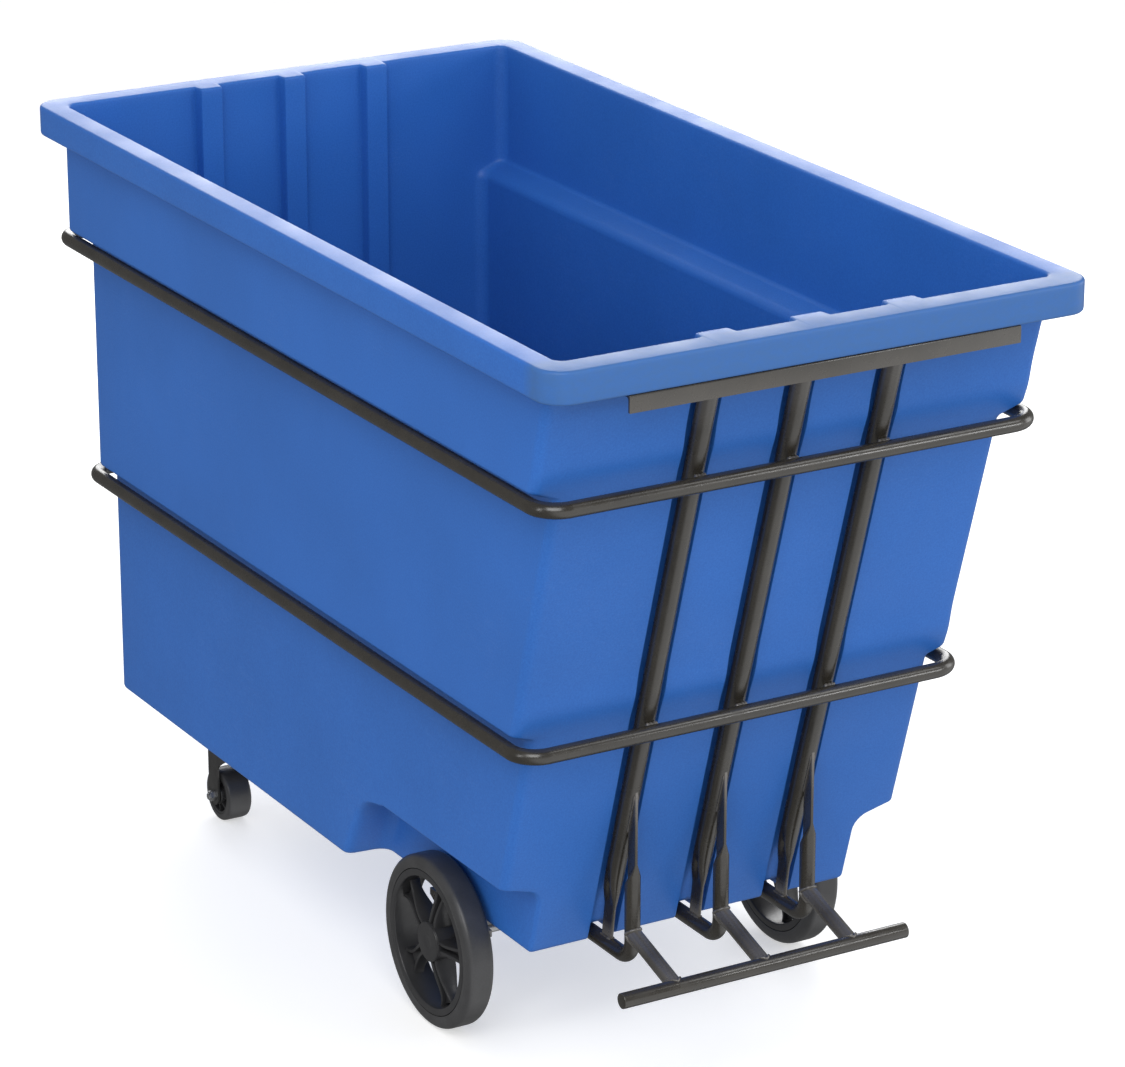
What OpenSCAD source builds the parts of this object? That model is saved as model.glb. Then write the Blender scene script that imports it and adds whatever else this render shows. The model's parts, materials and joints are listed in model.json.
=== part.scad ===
/* [Tub] */
// Outside length of the rim, along X
rim_length = 1890; // [1850:5:1930]
// Outside width of the rim, along Y
rim_width = 1002; // [990:1:1030]
// Height of the rim's flat top above the ground
rim_top = 1365; // [1355:1:1375]
// Height of the down-turned lip around the rim
lip_height = 54; // [48:1:60]
// Plan radius of the rim's corners
rim_corner = 44; // [36:1:60]
// Thickness of the moulded wall
wall = 8; // [6:0.5:10]
// Plan radius of the tub's upright corners
wall_corner = 30; // [24:1:40]
// Outside width of the top tier
upper_width = 927; // [920:1:935]
// Outside width of the middle tier
middle_width = 837; // [830:1:845]
// Outside width of the bottom tier
lower_width = 772; // [765:1:780]
// Height of the outer edge of the upper ledge
upper_ledge = 1132; // [1130:1:1140]
// Height of the outer edge of the lower ledge
lower_ledge = 672; // [668:1:680]
// Height of the underside of the tub
tub_floor = 215.5; // [210:0.5:220]
// Distance from the centre to the upright rear wall
rear_wall = 902; // [895:1:905]
// Where the plane of the front wall would meet the ground
front_foot = 485; // [475:1:490]
// Lean of the front wall from the upright, in degrees
front_lean = 16.8; // [16:0.1:17.5]

/* [Grooves and wheel wells] */
// Spacing of the three frame grooves, centre to centre
groove_pitch = 171.5; // [165:0.5:178]
// Width of a groove at the wall's surface
groove_mouth = 50; // [46:1:54]
// Width of a groove at its floor
groove_width = 40; // [37:1:44]
// Depth of a groove in the front and rear walls
groove_depth = 21; // [20:0.5:24]
// Depth of a groove in the underside
belly_depth = 16; // [14:0.5:18]
// Height of the top of the wheel wells
well_top = 355; // [350:1:362]
// Radius of the swept corner behind each wheel
well_sweep = 98; // [60:1:110]
// Distance from the centre plane to the side of a wheel well
well_side = 311; // [305:1:313]

/* [Frame] */
// Outside diameter of the hoop, rail, arm and lift-bar tube
tube_d = 26.7; // [25.4:0.1:27]
// Outside diameter of the upright riser tube
riser_d = 33.4; // [32:0.1:34]
// Wall thickness of all the frame tube
tube_wall = 3; // [2:0.25:3.5]
// Plan radius of the hoops' bends, at the tube's centre
hoop_bend = 45; // [40:1:60]
// Height of the lift bar's centre above the ground
lift_bar_z = 224.5; // [215:0.5:230]
// Distance of the lift bar's centre in front of the middle
lift_bar_x = 783; // [770:1:800]
// Length of the lift bar
lift_bar_length = 553; // [520:1:580]
// Length of the catch angle under the front lip
catch_length = 720; // [690:1:740]

/* [Wheels] */
// Diameter of the fixed wheels
wheel_d = 304.8; // [300:0.1:306]
// Width of the fixed wheels' tyres
wheel_width = 52; // [50:0.5:54]
// Distance of the axle in front of the middle
axle_x = 294; // [280:1:300]
// Distance from the centre plane to the outer face of a wheel
wheel_face = 371.5; // [371:0.5:378]
// Diameter of the axle
axle_d = 19.05; // [19:0.05:19.1]
// Diameter of the caster wheels
caster_d = 101.6; // [100:0.1:102]
// Width of the caster wheels
caster_width = 50.8; // [48:0.1:51]
// Distance of the caster pivots behind the middle
caster_x = 647; // [630:1:660]
// Distance from the centre plane to the caster pivots
caster_y = 266; // [255:1:275]
// Trail of a caster wheel behind its pivot
caster_trail = 35; // [30:1:38]

/* [Hidden] */
$fn = 48;

plastic = [0.16, 0.38, 0.72];
steel = [0.20, 0.19, 0.18];
rubber = [0.13, 0.13, 0.14];
nylon = [0.20, 0.20, 0.21];
zinc = [0.62, 0.63, 0.65];
bronze = [0.62, 0.48, 0.28];

far = 3000;                      // longer than any part, for cutting tools
lean = tan(front_lean);
function front_x(z) = front_foot + z * lean;
grooves = [-groove_pitch, 0, groove_pitch];
lip_bottom = rim_top - lip_height;
upper_drop = 18;                 // fall of the upper ledge from its edge to the wall below
lower_drop = 12;                 // fall of the lower ledge
edge_chamfer = 8;                // softened bottom edge

// frame places
tube_r = tube_d / 2;
riser_r = riser_d / 2;
riser_set = 3;                   // how far a riser's axis sits behind the wall's surface
riser_foot = front_foot - riser_set;
function riser_x(z) = riser_foot + z * lean;
rear_riser_x = -(rear_wall - riser_set - 1);
rail_z = tub_floor - 2;
rail_top = rail_z + tube_r;
hook_bend = 36;
leg_x = 644;
leg_top = 341;
blade_t = 6;
blade_w = 30;
crimp_top = 405;
crimp_bottom = 320;
arm_z = lift_bar_z + (lift_bar_x - leg_x) * lean;
catch_t = 5;
catch_face = 941;
catch_drop = 29;
catch_top = lip_bottom - 1;

// hoops: the centre line of each ring, as [front x, rear x, half width, height]
upper_ring = [853, -931, 455.5, 1112];
lower_ring = [713, -930.5, 413.5, 646.5];

// running gear
wheel_r = wheel_d / 2;
axle_z = wheel_r;
axle_r = axle_d / 2;
run = 0.06;                      // radial clearance of a running fit
wheel_mid = wheel_face - wheel_width / 2;
bush_r = 14;
hub_r = 35.5;
hub_out = wheel_face - 5.5;
hub_in = wheel_face - wheel_width + 2;
pocket_r = 24;
pocket_in = hub_out - 14;
bracket_in = 300;
bracket_t = 6;
cross_top = rail_z - tube_r;
cross_h = 30;
cross_w = 50;
caster_r = caster_d / 2;
plate_t = 6;
plate_z = cross_top - cross_h - plate_t;
race_h = 8;
fork_top = plate_z - race_h - 0.2;
fork_plate = 8;
fork_gap = caster_width / 2 + 3;
fork_t = 4;
fork_w = 45;
pin_r = 6.35;
bolt_r = 6;
caster_wheel_x = -(caster_x + caster_trail);

// ---------- tub ----------

// Plan outline with rounded corners, from x0 to x1, half width hw
module round_plan(x0, x1, hw, r) {
    for (x = [x0 + r, x1 - r])
        for (y = [-hw + r, hw - r])
            translate([x, y]) circle(r);
    translate([x0 + r, -hw]) square([x1 - x0 - 2 * r, 2 * hw]);
    translate([x0, -hw + r]) square([x1 - x0, 2 * hw - 2 * r]);
}

// Draws its 2D child on a plane that leans with the front wall
module leaning(z0, length) {
    translate([front_x(z0), 0, z0])
        rotate([0, front_lean, 0])
            linear_extrude(length) children();
}

// One tier of the tub: upright rear wall and leaning front wall, inset by t
module tier(width, z0, z1, t) {
    hw = width / 2 - t;
    r = wall_corner - t;
    intersection() {
        translate([0, 0, z0]) linear_extrude(z1 - z0) round_plan(-rear_wall + t, far, hw, r);
        leaning(-far, 3 * far) round_plan(-2 * far, -t, hw, r);
    }
}

// Cross-section of the tiers with their sloping ledges, inset by t
module tier_section(t) {
    up = t * 0.9;
    chamfer = edge_chamfer - t / 2;
    half = [
        [lower_width / 2 - t - chamfer, tub_floor + t],
        [lower_width / 2 - t, tub_floor + t + chamfer],
        [lower_width / 2 - t, lower_ledge - lower_drop + up],
        [middle_width / 2 - t, lower_ledge + up],
        [middle_width / 2 - t, upper_ledge - upper_drop + up],
        [upper_width / 2 - t, upper_ledge + up],
        [upper_width / 2 - t, rim_top + 50]
    ];
    count = len(half);
    mirrored = [for (i = [count - 1:-1:0]) [-half[i][0], half[i][1]]];
    polygon(concat(half, mirrored));
}

// The stepped body, inset by t
module body(t) {
    intersection() {
        union() {
            tier(lower_width, tub_floor, lower_ledge, t);
            tier(middle_width, lower_ledge - lower_drop, upper_ledge, t);
            tier(upper_width, upper_ledge - upper_drop, rim_top + t, t);
        }
        translate([-far / 2, 0, 0])
            rotate([90, 0, 90]) linear_extrude(far) tier_section(t);
    }
}

// Section of one groove, opening towards +X, grown by t
module groove_plan(depth, t) {
    mouth = groove_mouth / 2 + t * 1.1;
    floor_half = groove_width / 2 + t * 0.9;
    reach = 20;
    polygon([
        [reach, -mouth - reach * 0.24], [0, -mouth], [-depth - t, -floor_half],
        [-depth - t, floor_half], [0, mouth], [reach, mouth + reach * 0.24]
    ]);
}

// The three grooves that carry the frame, grown by t
module groove_cuts(t, top) {
    for (y = grooves) {
        intersection() {
            leaning(-far, 3 * far) translate([0, y]) groove_plan(groove_depth, t);
            translate([-far, -far, tub_floor - 60]) cube([2 * far, 2 * far, top - tub_floor + 60]);
        }
        translate([-rear_wall, y, tub_floor - 60])
            linear_extrude(top - tub_floor + 60) mirror([1, 0]) groove_plan(groove_depth, t);
        intersection() {
            translate([-far / 2, y, tub_floor])
                rotate([0, 90, 0]) linear_extrude(far) groove_plan(belly_depth, t);
            body(-20);
        }
    }
}

// Side view of a wheel well, grown by t
module well_side_view(t) {
    r = well_sweep + t;
    corner = [165, well_top - well_sweep];
    edge = [corner[0] - r * cos(25), corner[1] + r * sin(25)];
    translate(corner) circle(r);
    polygon([
        edge, [corner[0], well_top + t], [far, well_top + t],
        [far, 100], [edge[0] - tan(25) * (edge[1] - 100), 100]
    ]);
}

// The two wheel wells, open at the sides and the front, grown by t
module wells(t) {
    for (side = [0, 1])
        mirror([0, side, 0])
            translate([0, -well_side + t, 0])
                rotate([90, 0, 0]) linear_extrude(far / 4) well_side_view(t);
}

module rim_block(inset, z0, z1) {
    half = rim_length / 2 - inset;
    translate([0, 0, z0])
        linear_extrude(z1 - z0) round_plan(-half, half, rim_width / 2 - inset, rim_corner - inset);
}

// Inside of the tub: what it can hold
module cavity() {
    difference() {
        body(wall);
        groove_cuts(wall, rim_top + 60);
        wells(wall);
    }
}

module tub() {
    color(plastic) difference() {
        union() {
            difference() {
                rim_block(0, lip_bottom, rim_top);
                rim_block(wall, lip_bottom - 1, rim_top - wall);
            }
            difference() {
                body(0);
                translate([-far, -far, rim_top - wall / 2]) cube([2 * far, 2 * far, far]);
            }
        }
        cavity();
        groove_cuts(0, rim_top - wall);
        wells(0);
    }
}

// ---------- steel frame ----------

module pipe(r, length) {
    difference() {
        cylinder(r = r, h = length);
        translate([0, 0, -1]) cylinder(r = r - tube_wall, h = length + 2);
    }
}

// Quarter bend in the XY plane, centred on the origin, in the quadrant +X +Y
module quarter_bend(bend_r, r) {
    rotate_extrude(angle = 90) translate([bend_r, 0]) circle(r);
}

// A closed hoop round the tub: four straights and four bends
module hoop(ring) {
    mid = (ring[0] + ring[1]) / 2;
    half_x = (ring[0] - ring[1]) / 2;
    half_y = ring[2];
    color(steel) translate([mid, 0, ring[3]]) {
        for (s = [-1, 1]) {
            translate([s * half_x, -half_y + hoop_bend, 0])
                rotate([-90, 0, 0]) cylinder(r = tube_r, h = 2 * (half_y - hoop_bend));
            translate([-half_x + hoop_bend, s * half_y, 0])
                rotate([0, 90, 0]) cylinder(r = tube_r, h = 2 * (half_x - hoop_bend));
        }
        for (mx = [0, 1])
            for (my = [0, 1])
                mirror([mx, 0, 0]) mirror([0, my, 0])
                    translate([half_x - hoop_bend, half_y - hoop_bend, 0]) quarter_bend(hoop_bend, tube_r);
    }
}

// Pads that carry the hoops on the risers, one at every crossing
module hoop_saddles() {
    pad = 22;
    color(steel) for (ring = [upper_ring, lower_ring])
        for (y = grooves) {
            difference() {
                translate([riser_x(ring[3]), y - pad / 2, ring[3] - pad / 2])
                    cube([ring[0] - riser_x(ring[3]), pad, pad]);
                translate([ring[0], 0, ring[3]]) rotate([90, 0, 0]) cylinder(r = tube_r, h = far, center = true);
                riser_core(y);
            }
            difference() {
                translate([ring[1], y - pad / 2, ring[3] - pad / 2])
                    cube([rear_riser_x - ring[1], pad, pad]);
                translate([ring[1], 0, ring[3]]) rotate([90, 0, 0]) cylinder(r = tube_r, h = far, center = true);
                translate([rear_riser_x, y, 0]) cylinder(r = riser_r, h = far);
            }
        }
}

// Solid outline of one leaning riser, for cutting its neighbours to fit
module riser_core(y) {
    translate([riser_x(0), y, 0]) rotate([0, front_lean, 0]) cylinder(r = riser_r, h = far);
}

// The pinched foot of a riser: round at the top, a flat blade below
module riser_foot(x_top, x_low) {
    pinch(x_top, (x_top + x_low) / 2);
    difference() {
        hull() {
            translate([(x_top + x_low) / 2 - blade_w / 2 - 2, -blade_t, crimp_bottom + 20])
                cube([blade_w + 4, 2 * blade_t, 1]);
            translate([x_low - blade_w / 2, -blade_t / 2, rail_z]) cube([blade_w, blade_t, 40]);
        }
        translate([0, 0, rail_z]) rotate([0, 90, 0]) cylinder(r = tube_r, h = 2 * far, center = true);
    }
}

module pinch(x_top, x_low) {
    hull() {
        translate([x_top, 0, crimp_top]) cylinder(r = riser_r - 0.2, h = 1, $fn = 32);
        translate([x_low - blade_w / 2 - 2, -blade_t, crimp_bottom + 20])
            cube([blade_w + 4, 2 * blade_t, 1]);
    }
}

module front_riser(y) {
    color(steel) translate([0, y, 0]) {
        difference() {
            translate([riser_x(0), 0, 0]) rotate([0, front_lean, 0]) pipe(riser_r, far / 2);
            translate([0, -50, -100]) cube([far, 100, crimp_top + 100]);
            translate([0, -50, catch_top - catch_t]) cube([far, 100, far]);
        }
        riser_foot(riser_x(crimp_top), riser_x(crimp_bottom) - 12);
    }
}

module rear_riser(y) {
    color(steel) translate([0, y, 0]) {
        translate([rear_riser_x, 0, crimp_top]) pipe(riser_r, lip_bottom - crimp_top + 20);
        riser_foot(rear_riser_x, rear_riser_x);
    }
}

// A rail under the tub, ending in a hook that turns up in front of the riser
module base_rail(y) {
    tail = rear_riser_x - 16;
    color(steel) translate([0, y, 0]) {
        translate([tail, 0, rail_z]) rotate([0, 90, 0]) cylinder(r = tube_r, h = leg_x - hook_bend - tail);
        translate([leg_x - hook_bend, 0, rail_z + hook_bend])
            rotate([-90, 0, 0]) quarter_bend(hook_bend, tube_r);
        translate([leg_x, 0, rail_z + hook_bend]) cylinder(r = tube_r, h = leg_top - rail_z - hook_bend);
        difference() {
            hook_blade();
            riser_core(0);
        }
    }
}

// The flattened top of the hook, which reaches the face of the riser
module hook_blade() {
    tip = (leg_x + tube_r - 1 - riser_foot) / lean;
    front = leg_x + tube_r - 1;
    hull() {
        translate([leg_x, 0, leg_top - 1]) cylinder(r = tube_r - 0.1, h = 1, $fn = 32);
        translate([front - 24, -blade_t / 2, leg_top + 28]) cube([24, blade_t, 1]);
    }
    translate([0, blade_t / 2, 0]) rotate([90, 0, 0]) linear_extrude(blade_t)
        polygon([[front - 24, leg_top + 20], [front, leg_top + 20], [front, tip - 40], [front - 30, tip - 60]]);
}

// An arm from the hook down to the lift bar, cut to fit both
module lift_arm(y) {
    run_x = lift_bar_x - leg_x;
    color(steel) translate([0, y, 0]) difference() {
        translate([leg_x, 0, arm_z]) rotate([0, 90 + front_lean, 0])
            cylinder(r = tube_r, h = run_x / cos(front_lean));
        translate([leg_x, 0, 0]) cylinder(r = tube_r, h = far);
        translate([lift_bar_x, 0, lift_bar_z]) rotate([90, 0, 0]) cylinder(r = tube_r, h = 200, center = true);
        translate([leg_x - hook_bend, 0, rail_z + hook_bend])
            rotate([-90, 0, 0]) quarter_bend(hook_bend, tube_r);
        translate([leg_x - 60, -50, 0]) cube([60, 100, far]);
    }
}

module lift_bar() {
    color(steel) translate([lift_bar_x, lift_bar_length / 2, lift_bar_z])
        rotate([90, 0, 0]) cylinder(r = tube_r, h = lift_bar_length);
}

// Steel angle under the front lip, welded to the tops of the risers
module catch_angle() {
    heel = front_x(catch_top) + 4;
    color(steel) translate([0, catch_length / 2, 0]) rotate([90, 0, 0])
        linear_extrude(catch_length) union() {
            translate([heel, catch_top - catch_t]) square([catch_face - heel, catch_t]);
            translate([catch_face - catch_t, catch_top - catch_drop]) square([catch_t, catch_drop]);
        }
}

// Square tube across the underside, with its top against the rails
module cross_tube(x, half) {
    color(steel) translate([x, half, cross_top - cross_h / 2]) rotate([90, 0, 0])
        linear_extrude(2 * half) difference() {
            square([cross_w, cross_h], center = true);
            square([cross_w - 2 * tube_wall, cross_h - 2 * tube_wall], center = true);
        }
}

// Hanger plate that carries one end of the axle
module axle_bracket() {
    ear = 24;
    color(steel) difference() {
        union() {
            on_axle(bracket_in) cylinder(r = ear, h = bracket_t);
            translate([0, bracket_in + bracket_t, 0]) rotate([90, 0, 0]) linear_extrude(bracket_t)
                polygon([
                    [axle_x - 104, cross_top], [axle_x + 104, cross_top], [axle_x + 104, cross_top - 12],
                    [axle_x + ear * 0.9, axle_z - 10], [axle_x - ear * 0.9, axle_z - 10],
                    [axle_x - 104, cross_top - 12]
                ]);
        }
        on_axle(bracket_in - 1) cylinder(r = axle_r + 0.03, h = bracket_t + 2);
    }
}

// ---------- fixed wheels ----------

// Draws its child as a turned part about the axle, growing towards the outside
module on_axle(y) {
    translate([axle_x, y, axle_z]) rotate([-90, 0, 0]) children();
}

module ring(outer, inner, length) {
    difference() {
        cylinder(r = outer, h = length);
        translate([0, 0, -1]) cylinder(r = inner, h = length + 2);
    }
}

module front_axle() {
    reach = pocket_in + 9;
    color(zinc) on_axle(-reach) cylinder(r = axle_r, h = 2 * reach);
}

module axle_spacers() {
    color(zinc) for (side = [0, 1])
        mirror([0, side, 0])
            on_axle(bracket_in + bracket_t) ring(axle_r + 4, axle_r + 0.02, hub_in - bracket_in - bracket_t - 0.1);
}

// Washer and cross pin on each end of the axle
module axle_retainers() {
    color(zinc) for (side = [0, 1])
        mirror([0, side, 0]) {
            on_axle(pocket_in + 0.3) ring(axle_r + 9, axle_r + 0.02, 2.5);
            on_axle(pocket_in + 3) ring(axle_r + 6, axle_r + 0.02, 3);
        }
}

tyre_in = 129;
barrel_r = 115.5;
module wheel_tyre() {
    sh = 8;
    color(rubber) on_axle(wheel_face - wheel_width) rotate_extrude($fn = 96) {
        translate([tyre_in, 0]) square([wheel_r - sh - tyre_in, wheel_width]);
        translate([tyre_in, sh]) square([wheel_r - tyre_in, wheel_width - 2 * sh]);
        for (y = [sh, wheel_width - sh])
            translate([wheel_r - sh, y]) circle(sh);
    }
}

// Twin-rib spoke, from the hub to the barrel
module spoke() {
    depth = wheel_width - 16;
    rib = 7;
    web_t = 6;
    translate([0, 0, (wheel_width - depth) / 2]) {
        for (s = [-1, 1])
            linear_extrude(depth) polygon([
                [hub_r - 6, s * 5], [hub_r - 6, s * (5 + rib)],
                [barrel_r + 3, s * (20 + rib * 1.6)], [barrel_r + 3, s * 20]
            ]);
        translate([0, 0, (depth - web_t) / 2])
            linear_extrude(web_t) polygon([
                [hub_r - 6, -7], [barrel_r + 3, -24], [barrel_r + 3, 24], [hub_r - 6, 7]
            ]);
    }
}

module wheel_rim() {
    hub_from = 2;
    color(nylon) on_axle(wheel_face - wheel_width) difference() {
        union() {
            rotate_extrude($fn = 96) {
                translate([barrel_r, 1]) square([tyre_in - barrel_r, wheel_width - 2]);
                translate([bush_r, hub_from]) square([hub_r - bush_r, hub_out - hub_in]);
            }
            for (i = [0:4])
                rotate([0, 0, 72 * i - 4]) spoke();
        }
        cylinder(r = bush_r, h = far, center = true);
        translate([0, 0, pocket_in - wheel_face + wheel_width]) cylinder(r = pocket_r, h = 60);
    }
}

module wheel_bush() {
    color(bronze) on_axle(hub_in) ring(bush_r, axle_r + run, pocket_in - hub_in);
}

module hub_cap() {
    color(nylon) on_axle(hub_out) difference() {
        union() {
            cylinder(r = hub_r - 0.5, h = 2.5);
            translate([0, 0, -4]) cylinder(r = pocket_r - 0.05, h = 5);
        }
        translate([0, 0, -5]) cylinder(r = pocket_r - 3, h = 5);
    }
}

// ---------- casters ----------

module at_pivot(z) {
    translate([-caster_x, caster_y, z]) children();
}

module on_caster_axle(y) {
    translate([caster_wheel_x, caster_y + y, caster_r]) rotate([-90, 0, 0]) children();
}

bolt_pitch = [76, 58];
module at_plate_bolts() {
    for (sx = [-1, 1])
        for (sy = [-1, 1])
            translate([sx * bolt_pitch[0] / 2, sy * bolt_pitch[1] / 2, 0]) children();
}

module caster_plate() {
    color(zinc) at_pivot(plate_z) difference() {
        linear_extrude(plate_t) round_plan(-52, 52, 42, 8);
        translate([0, 0, -1]) cylinder(r = pin_r, h = plate_t + 2);
        at_plate_bolts() translate([0, 0, -1]) cylinder(r = 4.6, h = plate_t + 2);
    }
}

// Plate across the rear of the frame that the casters bolt to
module rear_cross_tube() {
    half = caster_y + 50;
    deck = 5;
    color(steel) difference() {
        union() {
            translate([-caster_x, half, cross_top - cross_h / 2]) rotate([90, 0, 0])
                linear_extrude(2 * half) difference() {
                    square([cross_w + 60, cross_h], center = true);
                    translate([0, -deck]) square([cross_w + 60 - 2 * deck, cross_h], center = true);
                }
            for (side = [0, 1])
                mirror([0, side, 0]) at_pivot(plate_z + plate_t)
                    linear_extrude(deck) round_plan(-54, 54, 44, 4);
        }
        for (side = [0, 1])
            mirror([0, side, 0]) at_pivot(plate_z) {
                at_plate_bolts() cylinder(r = 4.6, h = 20);
                cylinder(r = pin_r + 8, h = 20);
            }
    }
}

// Bolt and nut in each corner of both caster plates
module caster_fasteners() {
    color(zinc) for (side = [0, 1])
        mirror([0, side, 0]) at_pivot(plate_z) at_plate_bolts() {
            translate([0, 0, -5.5]) cylinder(r = 7.5, h = 5.5, $fn = 6);
            translate([0, 0, -1]) cylinder(r = 4, h = 22);
            translate([0, 0, plate_t + 5]) cylinder(r = 7.5, h = 6.5, $fn = 6);
        }
}

module caster_race() {
    color(zinc) at_pivot(plate_z - race_h) ring(34, pin_r + 0.02, race_h);
}

// King pin, riveted through the plate and headed below the fork
module caster_pin() {
    color(zinc) at_pivot(fork_top - fork_plate - 6) {
        cylinder(r = pin_r, h = plate_z + plate_t + 4 - (fork_top - fork_plate - 6));
        cylinder(r = 11, h = 5.8);
        translate([0, 0, plate_z + plate_t - (fork_top - fork_plate - 6)]) cylinder(r = 10, h = 4);
    }
}

module caster_fork() {
    reach = fork_gap + fork_t;
    color(steel) difference() {
        union() {
            at_pivot(fork_top - fork_plate) linear_extrude(fork_plate)
                round_plan(-caster_trail - fork_w / 2, 38, reach, 10);
            for (s = [-1, 1])
                translate([caster_wheel_x, caster_y + s * (reach - fork_t / 2), 0]) rotate([90, 0, 0])
                    linear_extrude(fork_t, center = true) {
                        translate([0, caster_r]) circle(fork_w / 2 - 4);
                        translate([-fork_w / 2 + 4, caster_r])
                            square([fork_w - 8, fork_top - caster_r - 1]);
                    }
        }
        at_pivot(0) cylinder(r = pin_r + run, h = far);
        on_caster_axle(0) cylinder(r = bolt_r + 0.03, h = 200, center = true);
    }
}

module caster_bolt() {
    reach = fork_gap + fork_t;
    color(zinc) on_caster_axle(-reach) {
        cylinder(r = bolt_r, h = 2 * reach + 12);
        translate([0, 0, -7]) cylinder(r = 10.4, h = 7, $fn = 6);
    }
}

module caster_nut() {
    reach = fork_gap + fork_t;
    color(zinc) on_caster_axle(reach) difference() {
        cylinder(r = 10.4, h = 9, $fn = 6);
        translate([0, 0, -1]) cylinder(r = bolt_r, h = 12);
    }
}

caster_core_r = 38;
caster_bush_r = 10;
module caster_core() {
    hub = 19;
    color(nylon) on_caster_axle(-caster_width / 2) difference() {
        rotate_extrude() {
            translate([caster_bush_r, 0]) square([hub - caster_bush_r, caster_width]);
            translate([hub - 1, caster_width / 2 - 6]) square([caster_core_r - hub, 12]);
            translate([caster_core_r - 5, 3]) square([5, caster_width - 6]);
        }
    }
}

module caster_tread() {
    sh = 6;
    color(rubber) on_caster_axle(-caster_width / 2) rotate_extrude($fn = 72) {
        translate([caster_core_r, 1.5]) square([caster_r - sh - caster_core_r, caster_width - 3]);
        translate([caster_core_r, sh + 1.5]) square([caster_r - caster_core_r, caster_width - 3 - 2 * sh]);
        for (y = [sh + 1.5, caster_width - 1.5 - sh])
            translate([caster_r - sh, y]) circle(sh);
    }
}

module caster_bush() {
    color(bronze) on_caster_axle(-caster_width / 2 - 1) ring(caster_bush_r, bolt_r + run, caster_width + 2);
}

module left() { children(); }
module right() { mirror([0, 1, 0]) children(); }

tub();
hoop(upper_ring);  // upper_hoop
hoop(lower_ring);  // lower_hoop
hoop_saddles();
front_riser(grooves[0]);  // front_riser_1
front_riser(grooves[1]);  // front_riser_2
front_riser(grooves[2]);  // front_riser_3
rear_riser(grooves[0]);  // rear_riser_1
rear_riser(grooves[1]);  // rear_riser_2
rear_riser(grooves[2]);  // rear_riser_3
base_rail(grooves[0]);  // base_rail_1
base_rail(grooves[1]);  // base_rail_2
base_rail(grooves[2]);  // base_rail_3
lift_arm(grooves[0]);  // lift_arm_1
lift_arm(grooves[1]);  // lift_arm_2
lift_arm(grooves[2]);  // lift_arm_3
lift_bar();
catch_angle();
cross_tube(axle_x, bracket_in);  // front_cross_tube
left() axle_bracket();  // axle_bracket_left
right() axle_bracket();  // axle_bracket_right
front_axle();
axle_spacers();
axle_retainers();
left() wheel_rim();  // wheel_rim_left
left() wheel_tyre();  // wheel_tyre_left
left() wheel_bush();  // wheel_bush_left
left() hub_cap();  // hub_cap_left
right() wheel_rim();  // wheel_rim_right
right() wheel_tyre();  // wheel_tyre_right
right() wheel_bush();  // wheel_bush_right
right() hub_cap();  // hub_cap_right
rear_cross_tube();
caster_fasteners();
left() caster_plate();  // caster_plate_left
left() caster_race();  // caster_race_left
left() caster_pin();  // caster_pin_left
left() caster_fork();  // caster_fork_left
left() caster_bolt();  // caster_bolt_left
left() caster_nut();  // caster_nut_left
left() caster_core();  // caster_core_left
left() caster_tread();  // caster_tread_left
left() caster_bush();  // caster_bush_left
right() caster_plate();  // caster_plate_right
right() caster_race();  // caster_race_right
right() caster_pin();  // caster_pin_right
right() caster_fork();  // caster_fork_right
right() caster_bolt();  // caster_bolt_right
right() caster_nut();  // caster_nut_right
right() caster_core();  // caster_core_right
right() caster_tread();  // caster_tread_right
right() caster_bush();  // caster_bush_right
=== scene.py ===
import json
import math

import bmesh
import bpy
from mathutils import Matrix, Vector, noise


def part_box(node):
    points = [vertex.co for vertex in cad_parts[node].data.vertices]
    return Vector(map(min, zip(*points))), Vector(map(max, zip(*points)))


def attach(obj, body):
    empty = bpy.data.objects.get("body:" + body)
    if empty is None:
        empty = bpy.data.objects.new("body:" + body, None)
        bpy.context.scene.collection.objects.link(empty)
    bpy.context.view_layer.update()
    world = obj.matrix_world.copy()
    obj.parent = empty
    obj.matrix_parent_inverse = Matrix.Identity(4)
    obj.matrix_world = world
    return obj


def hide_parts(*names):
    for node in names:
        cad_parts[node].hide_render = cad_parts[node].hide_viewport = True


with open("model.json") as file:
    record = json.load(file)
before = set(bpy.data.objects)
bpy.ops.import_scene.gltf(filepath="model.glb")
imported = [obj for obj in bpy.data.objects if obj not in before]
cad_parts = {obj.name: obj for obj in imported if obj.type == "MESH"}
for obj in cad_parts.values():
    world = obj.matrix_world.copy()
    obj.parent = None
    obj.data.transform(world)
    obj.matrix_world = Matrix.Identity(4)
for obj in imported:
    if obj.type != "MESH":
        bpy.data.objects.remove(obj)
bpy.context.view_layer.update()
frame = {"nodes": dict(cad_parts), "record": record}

MM = 0.001
TAU = 2 * math.pi

# ------------------------------------------------------------------ camera

camera_data = bpy.data.cameras.new("camera")
camera = bpy.data.objects.new("camera", camera_data)
bpy.context.scene.collection.objects.link(camera)
camera.location = Vector((6580, -3744, 3445)) * MM
camera.rotation_mode = "QUATERNION"
camera.rotation_quaternion = Vector((-0.81461, 0.47195, -0.33716)).to_track_quat("-Z", "Y")
camera_data.sensor_width = 36
camera_data.lens = 147.1
camera_data.clip_start = 0.1
camera_data.clip_end = 100
bpy.context.scene.camera = camera
bpy.context.scene.view_settings.view_transform = "Standard"

# ------------------------------------------------------------------ materials


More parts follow.
